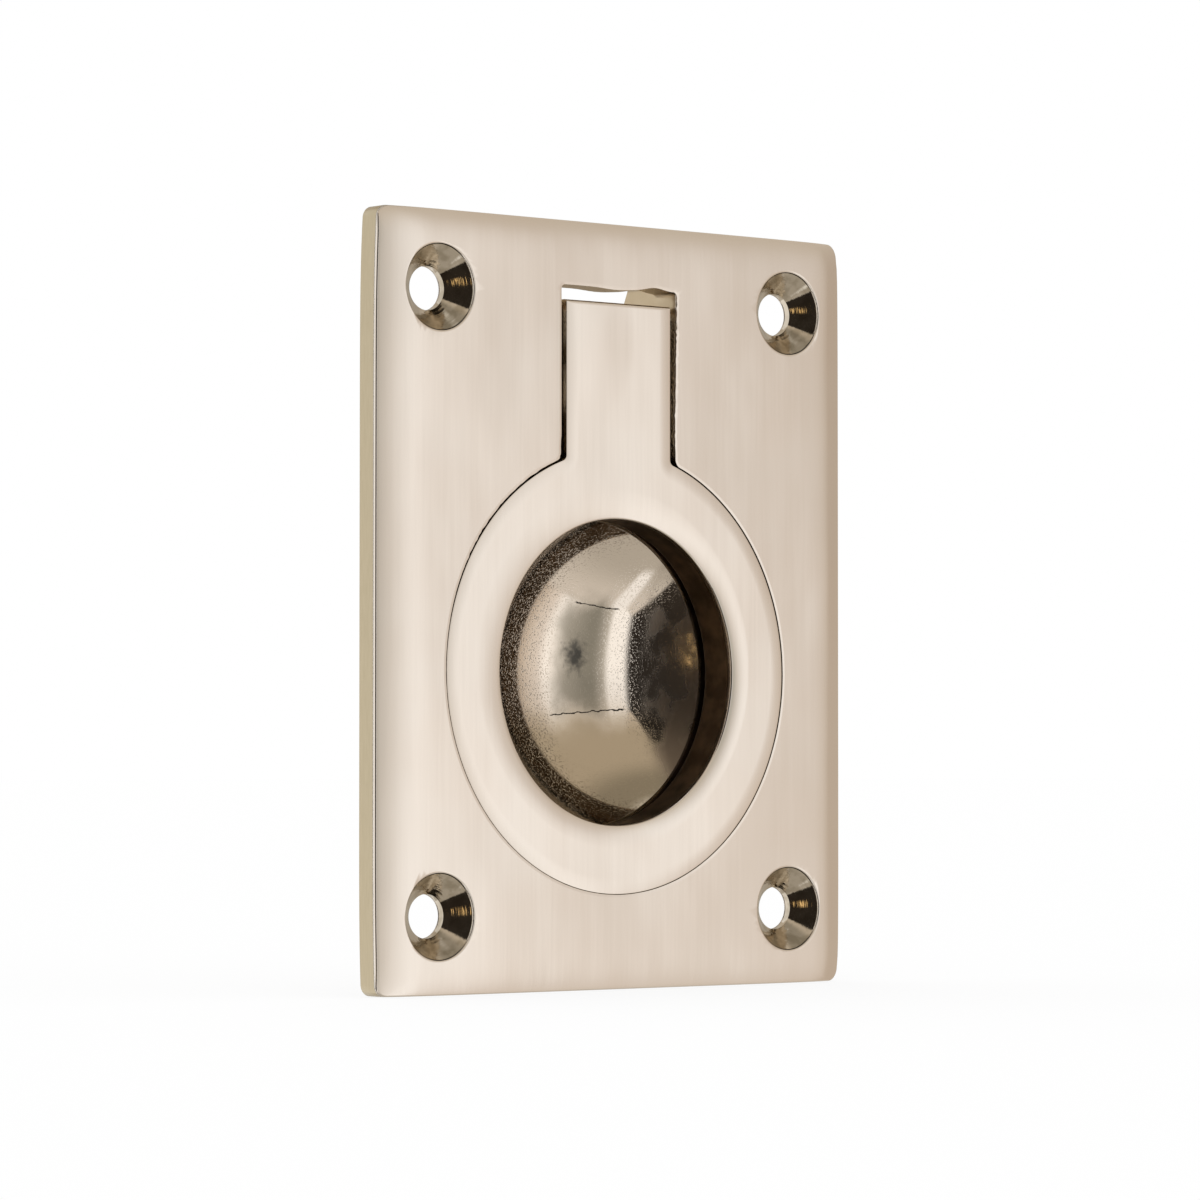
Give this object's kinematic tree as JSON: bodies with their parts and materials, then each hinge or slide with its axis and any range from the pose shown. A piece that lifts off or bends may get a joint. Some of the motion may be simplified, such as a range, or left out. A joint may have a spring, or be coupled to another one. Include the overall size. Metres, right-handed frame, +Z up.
{
  "type": "flush ring pull",
  "caption": "Flush ring pull: a cast faceplate with countersunk screw holes, a keyhole recess and a round finger cup, and a ring that folds out on a hinge pin at its tongue.",
  "frame": {"origin": "centre of the screw pattern on the mounting plane, the flat back of the plate", "axes": "+X across the plate, +Z up towards the hinge, the pull faces -Y and the cup and hinge lugs go back along +Y"},
  "size_m": [0.0508, 0.012, 0.0636],
  "materials": {
    "polished_plate": "polished",
    "pin_metal": "satin"
  },
  "bodies": {
    "faceplate": {"faceplate": "polished_plate", "hinge_pin": "pin_metal"},
    "ring": {"ring_pull": "polished_plate"}
  },
  "joints": [
    {"name": "ring_swing", "type": "hinge", "parent": "faceplate", "child": "ring", "pos_m": [0, 0.0011, 0.0209], "axis": [-1, 0, 0], "range_deg": [0, 105]}
  ]
}
